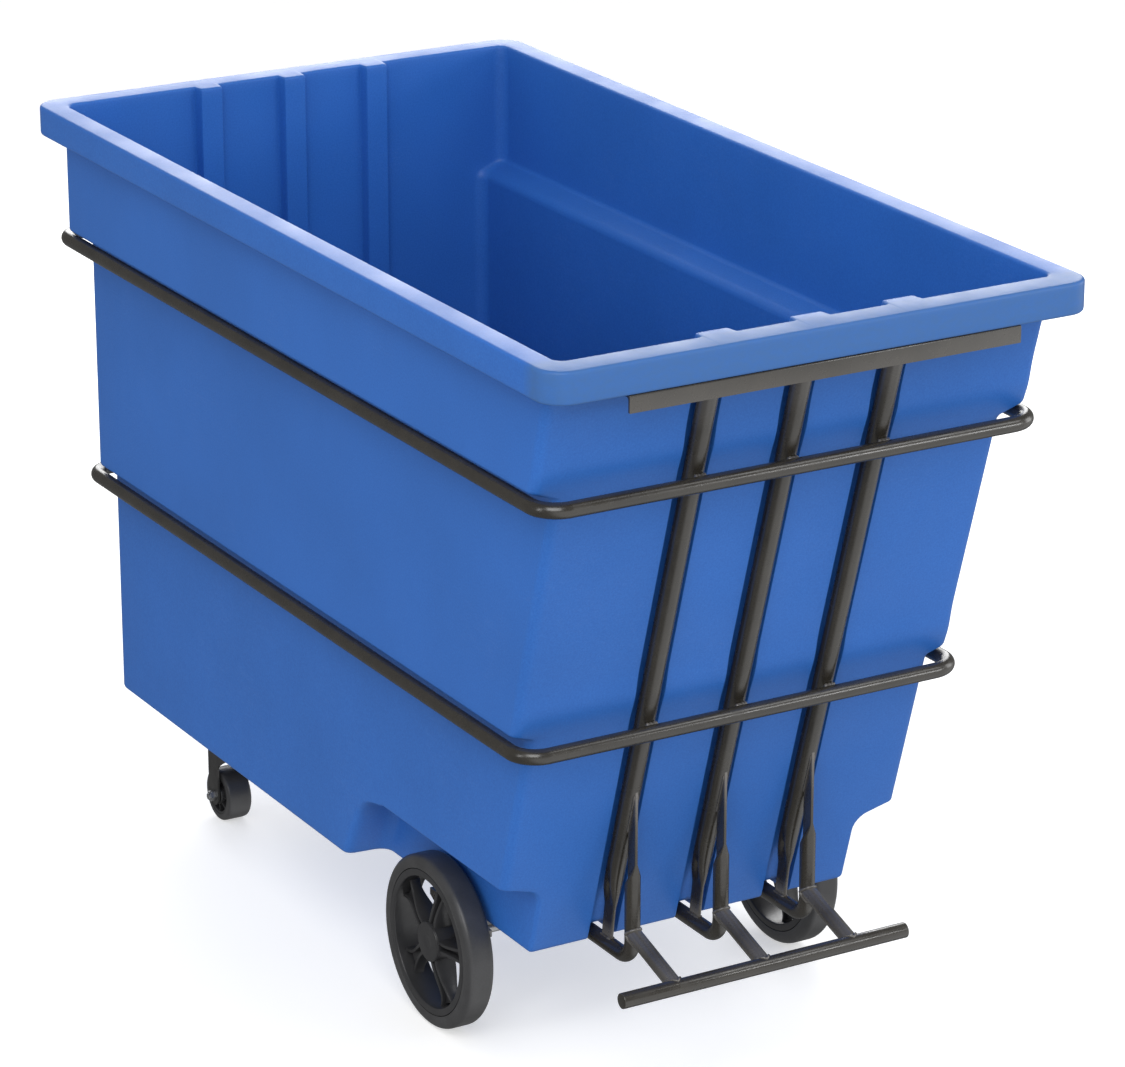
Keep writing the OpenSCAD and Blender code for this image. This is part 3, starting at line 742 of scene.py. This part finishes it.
def riser_rows(y, axis, foot_axis, top):
    """Rings of a riser, from under the rim down to its flattened foot."""
    rows = []
    half = RISER / math.cos(LEAN_ANGLE) if axis(1) != axis(0) else RISER
    for z in (top, 1200, 1000, 800, 600, 500, 440):
        rows.append([(axis(z) + a, y + b, z) for a, b in super_ring(half, RISER)])
    for z, half, thick, valley, power in FOOT:
        rows.append([(foot_axis(z) + a, y + b, z) for a, b in super_ring(half, thick, power, valley)])
    return rows


def front_foot_x(z):
    return riser_x(z) if z > 322 else interpolate(z, FRONT_FOOT_AXIS)


def rear_x(z):
    return REAR_RISER_X


def build_risers():
    for key, y in GROOVES.items():
        for name, axis, foot_axis in (("front_riser_%d", riser_x, front_foot_x),
                                      ("rear_riser_%d", rear_x, rear_x)):
            node = name % key
            rows = riser_rows(y, axis, foot_axis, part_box(node)[1].z / MM)
            make_piece(node + "_tube", *closed_skin(rows), "frame", "truck", [node], sharp=48)


# low X, high X, half thickness, squareness, height at the leg's axis, slope along X
BLADE = [
    (LEG_X - TUBE, LEG_X + TUBE, TUBE, 2, 290, 0.0), (LEG_X - TUBE, LEG_X + TUBE, TUBE, 2, 330, 0.6),
    (LEG_X - TUBE, LEG_X + TUBE, TUBE, 2, 356.5, 1.24), (630.8, 657.3, 12.9, 2.1, 357.5, 1.24),
    (631.0, 656.9, 9.2, 2.6, 364, 1.26), (631.4, 656.5, 5.6, 3.6, 370, 1.3),
    (631.8, 656.1, 3.1, 6, 374.5, 1.36), (632.0, 656.0, 3.0, 7, 378, 1.4), (632.0, 656.0, 3.0, 7, 425, 2.6)]


def blade_ring(low_x, high_x, thick, power, height):
    """A flattened ring between two X values; height gives Z at each X."""
    centre, half = (low_x + high_x) / 2, (high_x - low_x) / 2
    return [(centre + a, b, height(centre + a)) for a, b in super_ring(half, thick, power)]


def hook_rows():
    """The rail from its tail, round the bend and up to the blade that meets the riser, at Y = 0."""
    corner = LEG_X - HOOK_BEND
    path = [(x, 0, RAIL_Z) for x in (REAR_RISER_X - RAIL_TAIL, -400, 200, corner - 20)]
    path += arc_points((corner, 0, RAIL_Z + HOOK_BEND), (1, 0, 0), (0, 0, 1), HOOK_BEND, -math.pi / 2, 0, 12)
    rows = []
    for i, p in enumerate(path):
        after, before = path[min(i + 1, len(path) - 1)], path[max(i - 1, 0)]
        along = (Vector(after) - Vector(before)).normalized()
        if i == len(path) - 1:
            along = Vector((0, 0, 1))
        out = Vector((along.z, 0, -along.x))
        rows.append([Vector(p) + out * a + Vector((0, b, 0)) for a, b in super_ring(TUBE, TUBE)])
    for *section, base, slope in BLADE:
        rows.append(blade_ring(*section, lambda x: base + slope * (x - LEG_X)))
    # the blade ends along the riser's face, with its last section
    rows.append(blade_ring(*section, lambda x: riser_front(x) + 9))
    return rows


def shifted(part, y):
    return [Vector(p) + Vector((0, y, 0)) for p in part[0]], part[1]


def crossing(base, along, a_axis, b_axis, radius, other_point, other_axis, other_radius, steps=28):
    """Points where a tube's surface first meets another tube, going along its own axis."""
    base, along, a_axis, b_axis = Vector(base), Vector(along), Vector(a_axis), Vector(b_axis)
    other_point, other_axis = Vector(other_point), Vector(other_axis)
    made = []
    for k in range(steps):
        a = TAU * k / steps
        start = base + (a_axis * math.cos(a) + b_axis * math.sin(a)) * radius
        across = along - other_axis * along.dot(other_axis)
        gap = start - other_point
        gap -= other_axis * gap.dot(other_axis)
        qa, qb, qc = across.dot(across), 2 * across.dot(gap), gap.dot(gap) - other_radius ** 2
        root = max(qb * qb - 4 * qa * qc, 0.0)
        made.append(start + along * ((-qb - math.sqrt(root)) / (2 * qa)))
    return made


def build_rails_and_arms():
    rail = closed_skin(hook_rows())
    down = Vector((BAR_X - LEG_X, 0, -(BAR_X - LEG_X) * LEAN))
    top = Vector((LEG_X, 0, BAR_Z + (BAR_X - LEG_X) * LEAN))
    arm = closed_skin(tube_rows([top, top + down * 0.5, top + down], TUBE, False, 28))
    along = down.normalized()
    square = along.cross(Vector((0, 1, 0))).normalized()
    skin_r = TUBE + 0.4
    low_joint = crossing(top, along, (0, 1, 0), square, skin_r, top + down, (0, 1, 0), skin_r)
    high_joint = crossing(top + down, -along, (0, 1, 0), square, skin_r, (LEG_X, 0, 0), (0, 0, 1), skin_r)
    beads = []
    for key, y in GROOVES.items():
        for node, part, sharp in (("base_rail_%d" % key, rail, 29), ("lift_arm_%d" % key, arm, 40)):
            make_piece(node + "_tube", *shifted(part, y), "frame", "truck", [node], sharp=sharp)
        beads.append(shifted(bead(low_joint, 2.6, True, key), y))
        beads.append(shifted(bead(high_joint, 2.8, True, key + 5), y))
        for s in (-1, 1):
            seam = [632.6 + 22 * k / 14 for k in range(15)]
            seam = [Vector((x, s * 3.6, riser_front(x) - 1)) for x in seam]
            beads.append(shifted(bead(seam, 1.6, False, key * s), y))
            for start, count, seed in ((546, 12, 11), (REAR_RISER_X - RAIL_TAIL, 11, 13)):
                foot = [Vector((start + 3 * k, s * 4.2, RAIL_Z + TUBE - 0.6)) for k in range(count)]
                beads.append(shifted(bead(foot, 2.2, False, key + seed * s), y))
    make_piece("arm_welds", *joined(beads), "frame", "truck", sharp=60)


def build_lift_bar():
    edge = 1.2
    path = [(BAR_X, y, BAR_Z) for y in (-BAR_HALF + edge, -60, 60, BAR_HALF - edge)]
    rows = tube_rows(path, TUBE, False, 32)
    rows = rounded_end(rows, path[-1], edge)
    rows = rounded_end(rows[::-1], path[0], edge)
    make_piece("lift_bar_tube", *closed_skin(rows), "frame", "truck", ["lift_bar"])


def build_catch():
    """Rolled angle: a top flange, a rounded heel and a front flange with eased edges."""
    x0, x1, z0, z1 = CATCH_LOW.x, CATCH_HIGH.x, CATCH_LOW.z, CATCH_HIGH.z
    half, t = CATCH_HIGH.y, 5.0
    outline = [(x0, z1), (x0, z1 - t)]
    outline += [(p.x, p.y) for p in round_path([(x0, z1 - t), (x1 - t, z1 - t), (x1 - t, z0)], [4.5])][1:]
    outline += [(x1, z0)]
    outline += [(p.x, p.y) for p in round_path([(x1, z0), (x1, z1), (x0, z1)], [3.0])][1:-1]
    rows = []
    for y, inset in ((-half, 0.5), (-half + 1, 0), (0, 0), (half - 1, 0), (half, 0.5)):
        rows.append([(x - math.copysign(inset, x - x1 + t / 2), y, z - math.copysign(inset, z - z1 + t / 2))
                     for x, z in outline])
    make_piece("catch_bar", *closed_skin(rows), "frame", "truck", ["catch_angle"], sharp=35, bevel=0.8)
    beads = []
    for key, y in GROOVES.items():
        axis = riser_x(z1 - t)
        ring = [Vector((axis + 17.6 * math.cos(a), y + 16.9 * math.sin(a), z1 - t - 0.8))
                for a in [-2.2 + 4.4 * k / 30 for k in range(31)]]
        beads.append(bead(ring, 2.6, False, key))
    make_piece("catch_welds", *joined(beads), "frame", "truck", sharp=60)


build_risers()
hoop_welds([build_hoop("upper_hoop"), build_hoop("lower_hoop")])
build_rails_and_arms()
build_lift_bar()
build_catch()

# ------------------------------------------------------------------ wheels


def polar(centre, side, radius, angle, d):
    return Vector((centre.x + radius * math.cos(angle), side * d, centre.z + radius * math.sin(angle)))


def turned(profile, centre, side, count):
    """A closed (radius, distance outwards) profile turned about a Y axis."""
    rows = [[polar(centre, side, r, TAU * k / count, d) for k in range(count)] for r, d in profile]
    return closed_skin(rows, True)


def rounded_profile(points, radii, steps):
    """A closed 2D outline with each corner rounded by its own radius."""
    made = []
    count = len(points)
    for i, radius in enumerate(radii):
        before, corner, after = points[i - 1], points[i], points[(i + 1) % count]
        path = round_path([before, corner, after], [radius], steps)
        made += [(p.x, p.y) for p in path[1:-1]]
    return made


def spline(points, steps):
    """A smooth curve through 2D points."""
    points = [Vector(p) for p in points]
    padded = [points[0] * 2 - points[1]] + points + [points[-1] * 2 - points[-2]]
    made = []
    for a, b, c, d in zip(padded, padded[1:], padded[2:], padded[3:]):
        for k in range(steps):
            t = k / steps
            made.append(0.5 * ((2 * b) + (c - a) * t + (2 * a - 5 * b + 4 * c - d) * t * t
                               + (3 * b - a - 3 * c + d) * t ** 3))
    return made + [points[-1]]


WHEEL_LOW, WHEEL_HIGH = (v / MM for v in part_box("wheel_tyre_left"))
WHEEL_FACE = WHEEL_HIGH.y
WHEEL_WIDTH = WHEEL_FACE - WHEEL_LOW.y
WHEEL_R = (WHEEL_HIGH.z - WHEEL_LOW.z) / 2
WHEEL_MID = WHEEL_FACE - WHEEL_WIDTH / 2
AXLE = (WHEEL_LOW + WHEEL_HIGH) / 2
HUB_R, BARREL_R, TYRE_IN = 35.5, 115.5, 129.0
SPOKE_START = 4.0

# how far a spoke's two ribs and its web stand from its middle, by distance from the hub's centre
RIB_SPREAD = [(33, 7.8), (44, 7.2), (54, 7.2), (64, 7.6), (75, 8.3), (86, 9.6), (95, 11.4), (103, 14.2),
              (110, 18.0), (116.5, 23.5)]
WEB_SPREAD = [(33, 7), (44, 6.8), (54, 6.8), (64, 7.2), (75, 7.9), (86, 9.2), (95, 11), (103, 13.8),
              (108, 16), (110, 17.5)]


def rib_part(centre, side, angle, edge):
    """One of a spoke's two ribs, from the hub out to where it flares into the barrel."""
    curve = spline([(r, edge * s) for r, s in RIB_SPREAD], 3)
    rows = []
    for i, point in enumerate(curve):
        reach = 19.0 - 9.5 * smooth((point.x - 40) / 70)
        low, high = WHEEL_MID - reach, WHEEL_MID + reach
        along = (curve[min(i + 1, len(curve) - 1)] - curve[max(i - 1, 0)]).normalized()
        out = Vector((-along.y, along.x))
        section = rounded_profile([(-3.0, low), (3.0, low), (3.0, high), (-3.0, high)], [1.6] * 4, 2)
        ring = []
        for off, d in section:
            p = point + out * off
            ring.append(polar(centre, side, p.length, math.atan2(p.y, p.x) + angle, d))
        rows.append(ring)
    return closed_skin(rows)


def web_part(centre, side, angle):
    """The recessed web between the two ribs of one spoke."""
    low, high = WHEEL_MID - 3, WHEEL_MID + 3
    rows = []
    for r, half in WEB_SPREAD:
        rows.append([polar(centre, side, math.hypot(r, off), angle + math.atan2(off, r), d)
                     for off, d in ((-half, low), (half, low), (half, high), (-half, high))])
    return closed_skin(rows)


def build_wheel(which, side):
    body = "wheel_" + which
    face, back = WHEEL_FACE, WHEEL_FACE - WHEEL_WIDTH
    shoulder = 11.5
    tyre = rounded_profile([(TYRE_IN + 0.2, back + 1.2), (TYRE_IN + 8, back), (WHEEL_R, back + 0.6),
                            (WHEEL_R, face - 0.6), (TYRE_IN + 8, face), (TYRE_IN + 0.2, face - 1.2)],
                           [0.6, 5, shoulder, shoulder, 5, 0.6], 8)
    tyre = turned(tyre, AXLE, side, 128)
    make_piece("tyre_" + which, *tyre, "tyre", body, ["wheel_tyre_" + which], sharp=50)
    flange, seat = TYRE_IN - 0.8, TYRE_IN + 0.6
    barrel = rounded_profile([(BARREL_R, back + 1), (flange, back + 1), (flange, back + 5), (seat, back + 6),
                              (seat, face - 6), (flange, face - 5), (flange, face - 1), (BARREL_R, face - 1)],
                             [2.4, 1.2, 0.3, 0.3, 0.3, 0.3, 1.2, 2.4], 4)
    hub_in, hub_out = back + 2, face - 5.5
    hub = rounded_profile([(14, hub_in), (HUB_R - 1.5, hub_in), (HUB_R, hub_out), (24, hub_out),
                           (24, hub_out - 14), (14, hub_out - 14)], [0.6, 2.5, 1.4, 0.5, 0.5, 0.5], 4)
    parts = [turned(barrel, AXLE, side, 128), turned(hub, AXLE, side, 64)]
    for k in range(5):
        spoke = math.radians(SPOKE_START + 72 * k)
        parts.append(rib_part(AXLE, side, spoke, -1))
        parts.append(rib_part(AXLE, side, spoke, 1))
        parts.append(web_part(AXLE, side, spoke))
    make_piece("rim_" + which, *joined(parts), "wheel", body, ["wheel_rim_" + which])
    cap_r = HUB_R - 0.5
    cap = [(0.05, -3), (21, -3), (23.8, -2), (23.8, 0.1), (cap_r - 0.5, 0.1), (cap_r, 0.7),
           (cap_r - 0.2, 1.5), (cap_r - 1.4, 2.3), (cap_r - 4, 2.5), (15, 2.3), (12, 1.9), (8, 1.1),
           (3, 0.9), (0.05, 0.9)]
    cap = turned([(r, hub_out + d) for r, d in cap], AXLE, side, 72)
    make_piece("cap_" + which, *cap, "wheel", body, ["hub_cap_" + which], sharp=50)


build_wheel("left", 1)
build_wheel("right", -1)

# ------------------------------------------------------------------ casters

TREAD_LOW, TREAD_HIGH = (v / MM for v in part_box("caster_tread_left"))
CASTER = (TREAD_LOW + TREAD_HIGH) / 2
CASTER_R = (TREAD_HIGH.z - TREAD_LOW.z) / 2
CORE_LOW, CORE_HIGH = (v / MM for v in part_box("caster_core_left"))
CASTER_HALF = (CORE_HIGH.y - CORE_LOW.y) / 2
FORK_LOW, FORK_HIGH = (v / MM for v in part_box("caster_fork_left"))


def turned_at(profile, y, side, count=72):
    """Like turned, for the casters: distances are from the wheel's own middle."""
    return turned([(r, d + y) for r, d in profile], CASTER, side, count)


def build_caster_wheel(which, side):
    body = "caster_wheel_" + which
    half, y = CASTER_HALF, CASTER.y
    tread = rounded_profile([(38.2, -half + 1.5), (CASTER_R - 1.0, -half + 1.2), (CASTER_R, -half + 10),
                             (CASTER_R, half - 10), (CASTER_R - 1.0, half - 1.2), (38.2, half - 1.5)],
                            [0.8, 5.5, 6, 6, 5.5, 0.8], 6)
    make_piece("caster_tread_ring_" + which, *turned_at(tread, y, side, 96), "caster_tread", body,
               ["caster_tread_" + which], sharp=50)
    ring = rounded_profile([(33, -half + 2.6), (38.6, -half + 2.6), (38.6, half - 2.6), (33, half - 2.6),
                            (34.6, 5), (34.6, -5)], [1, 1, 1, 1, 2, 2], 3)
    hub = rounded_profile([(10.05, -half), (18, -half), (19.5, -6), (19.5, 6), (18, half), (10.05, half)],
                          [0.6, 1.6, 2, 2, 1.6, 0.6], 3)
    disc = rounded_profile([(17, -5), (35, -4), (35, 4), (17, 5)], [0.4] * 4, 2)
    parts = [turned_at(ring, y, side), turned_at(hub, y, side), turned_at(disc, y, side)]
    for k in range(8):
        a = TAU * k / 8
        out, across = Vector((math.cos(a), 0, math.sin(a))), Vector((-math.sin(a), 0, math.cos(a)))
        rows = []
        for r, depth in ((17, half - 3), (24, half - 5), (30, half - 5.5), (35, half - 4)):
            rows.append([Vector((CASTER.x, side * (y + d), CASTER.z)) + out * r + across * t
                         for t, d in ((-1.3, -depth), (1.3, -depth), (1.3, depth), (-1.3, depth))])
        parts.append(closed_skin(rows))
    make_piece("caster_hub_" + which, *joined(parts), "caster_core", body, ["caster_core_" + which], sharp=38)


def build_fork(which, side):
    """Pressed fork: a flat crown bent down into two tapering legs with round ends."""
    thick, bend = 4.0, 9.0
    outer = FORK_HIGH.y - CASTER.y
    top = FORK_HIGH.z
    leg_half = 18.5
    pin_reach = 11
    pivot_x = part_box("caster_pin_left")[0].x / MM + pin_reach
    crown = (FORK_LOW.x, FORK_HIGH.x)

    def span(z):
        """X range of a leg at height z."""
        if z <= CASTER.z:
            drop = CASTER.z - z
            half = math.sqrt(max(leg_half ** 2 - drop ** 2, 0.2))
            return CASTER.x - half, CASTER.x + half
        grow = smooth((z - (top - 46)) / 40)
        front = CASTER.x + leg_half + (crown[1] - 8 - CASTER.x - leg_half) * grow
        return CASTER.x - leg_half - 1.5 * smooth((z - 70) / 30), front

    stations = [CASTER.z - leg_half * math.cos(math.pi / 2 * k / 9) for k in range(9)]
    stations += [CASTER.z + v for v in (0, 8, 20, 34, 46)] + [top - v for v in (46, 38, 30, 22, 16, bend)]
    skin_out, skin_in, spans = [], [], []
    for z in stations:
        skin_out.append((outer, z))
        skin_in.append((outer - thick, z))
        spans.append(span(z))
    for k in range(1, 7):
        a = math.pi / 2 * k / 6
        for skin_rows, r in ((skin_out, bend), (skin_in, bend - thick)):
            skin_rows.append((outer - bend + r * math.cos(a), top - bend + r * math.sin(a)))
        grow = smooth(k / 6)
        low, high = span(top - bend)
        spans.append((low + (crown[0] - low) * grow, high + (crown[1] - high) * grow))
    for y in (outer - bend - 6, 0):
        skin_out.append((y, top))
        skin_in.append((y, top - thick))
        spans.append(crown)
    strip = list(zip(skin_out, skin_in, spans))
    strip += [((-o[0], o[1]), (-i[0], i[1]), s) for o, i, s in strip[-2::-1]]
    rows = []
    for o, i, (x0, x1) in strip:
        xs = [x0 + (x1 - x0) * t for t in (0, 0.04, 0.3, 0.7, 0.96, 1)]
        rows.append([Vector((x, side * (CASTER.y + o[0]), o[1])) for x in xs]
                    + [Vector((x, side * (CASTER.y + i[0]), i[1])) for x in reversed(xs)])
    make_piece("fork_" + which, *closed_skin(rows), "fork", "swivel_" + which, ["caster_fork_" + which],
               sharp=38, bevel=0.7)
    # raised swivel collar under the crown
    collar = rounded_profile([(7, top - 9), (20, top - 9), (24, top - 3.5), (7, top - 3.5)],
                             [0.5, 2, 0.5, 0.5], 3)
    rows = [[Vector((pivot_x + r * math.cos(TAU * k / 40), side * CASTER.y + r * math.sin(TAU * k / 40), z))
             for k in range(40)] for r, z in collar]
    make_piece("fork_collar_" + which, *closed_skin(rows, True), "fork", "swivel_" + which)


for which, side in (("left", 1), ("right", -1)):
    build_caster_wheel(which, side)
    build_fork(which, side)

# ------------------------------------------------------------------ CAD parts that stay as they are

SLOTS = {row["node"]: row["material_slot"] for row in frame["record"]["subparts"]}
for node_name, node in frame["nodes"].items():
    if node.hide_render:
        continue
    node.data.materials.clear()
    node.data.materials.append(FINISH[SLOTS[node_name]])
    add_bevel(node, 0.6)

# ------------------------------------------------------------------ floor and light


def stage_floor():
    mesh = bpy.data.meshes.new("floor")
    size = 30
    corners = [(x * size, y * size, 0) for x, y in ((-1, -1), (1, -1), (1, 1), (-1, 1))]
    mesh.from_pydata(corners, [], [(0, 1, 2, 3)])
    floor = bpy.data.objects.new("floor", mesh)
    bpy.context.scene.collection.objects.link(floor)
    material, tree, shader = new_material("floor_paper")
    place = object_coordinates(tree)
    tone = ramp_node(tree, noise_node(tree, place, 1.5, 3), [(0.3, grey(0.69)), (0.7, grey(0.71))])
    tree.links.new(tone, shader.inputs["Base Color"])
    shader.inputs["Roughness"].default_value = 0.75
    shader.inputs["Emission Color"].default_value = (1, 1, 1, 1)
    shader.inputs["Emission Strength"].default_value = 0.50
    mesh.materials.append(material)
    # the floor shows shadows, but neither lights the object nor shows in its gloss
    floor.visible_glossy = False
    floor.visible_diffuse = False


def area_light(name, place, target, size, power):
    data = bpy.data.lights.new(name, "AREA")
    data.shape = "RECTANGLE"
    data.size, data.size_y = size
    data.energy = power
    light = bpy.data.objects.new(name, data)
    bpy.context.scene.collection.objects.link(light)
    light.location = place
    light.rotation_mode = "QUATERNION"
    light.rotation_quaternion = (Vector(target) - Vector(place)).to_track_quat("-Z", "Y")


def on_dome(azimuth, elevation, distance):
    """A place round the object, for a light: azimuth from +X towards +Y."""
    a, e = math.radians(azimuth), math.radians(elevation)
    reach = distance * math.cos(e)
    return (reach * math.cos(a), reach * math.sin(a), 0.7 + distance * math.sin(e))


def studio_world(ambient, dark, bright):
    """An even white surround; gloss sees it dark, but for the bright table in front of the object."""
    world = bpy.data.worlds.new("studio")
    world.use_nodes = True
    tree = world.node_tree
    background = tree.nodes["Background"]
    background.inputs[0].default_value = (0.99, 0.995, 1.0, 1)
    coordinates = tree.nodes.new("ShaderNodeTexCoord")
    split = tree.nodes.new("ShaderNodeSeparateXYZ")
    tree.links.new(coordinates.outputs["Generated"], split.inputs[0])
    ahead = math_node(tree, "ADD", math_node(tree, "MULTIPLY", split.outputs[0], 0.87),
                      math_node(tree, "MULTIPLY", split.outputs[1], 0.50))
    ahead = map_range(tree, ahead, 0.0, 0.6)
    below = map_range(tree, split.outputs[2], -0.05, 0.30, 1.0, 0.0)
    gloss = map_range(tree, math_node(tree, "MULTIPLY", ahead, below), 0.0, 1.0, dark, bright)
    path = tree.nodes.new("ShaderNodeLightPath")
    chosen = tree.nodes.new("ShaderNodeMix")
    tree.links.new(path.outputs["Is Glossy Ray"], chosen.inputs[0])
    chosen.inputs[2].default_value = ambient
    tree.links.new(gloss, chosen.inputs[3])
    strength = math_node(tree, "MAXIMUM", path.outputs["Is Camera Ray"], chosen.outputs[0])
    tree.links.new(strength, background.inputs[1])
    bpy.context.scene.world = world


stage_floor()
studio_world(0.74, 0.20, 0.85)
area_light("key", on_dome(-35, 36, 5.5), (0, 0, 0.7), (3.0, 3.0), 110)
area_light("back", on_dome(151, 21, 5.5), (0, 0, 1.2), (4.5, 2.6), 165)
area_light("gleam", (2.3, 1.9, 3.4), (0.7, 0, 0.4), (1.2, 1.2), 12)
area_light("side", on_dome(72, 14, 4.6), (0.3, 0, 0.7), (1.8, 2.2), 30)
area_light("low", on_dome(33, 15, 4.6), (0.7, 0, 0.6), (1.5, 0.5), 20)
area_light("strip", on_dome(-72, 18, 4.6), (0.7, 0, 0.7), (0.4, 2.0), 14)
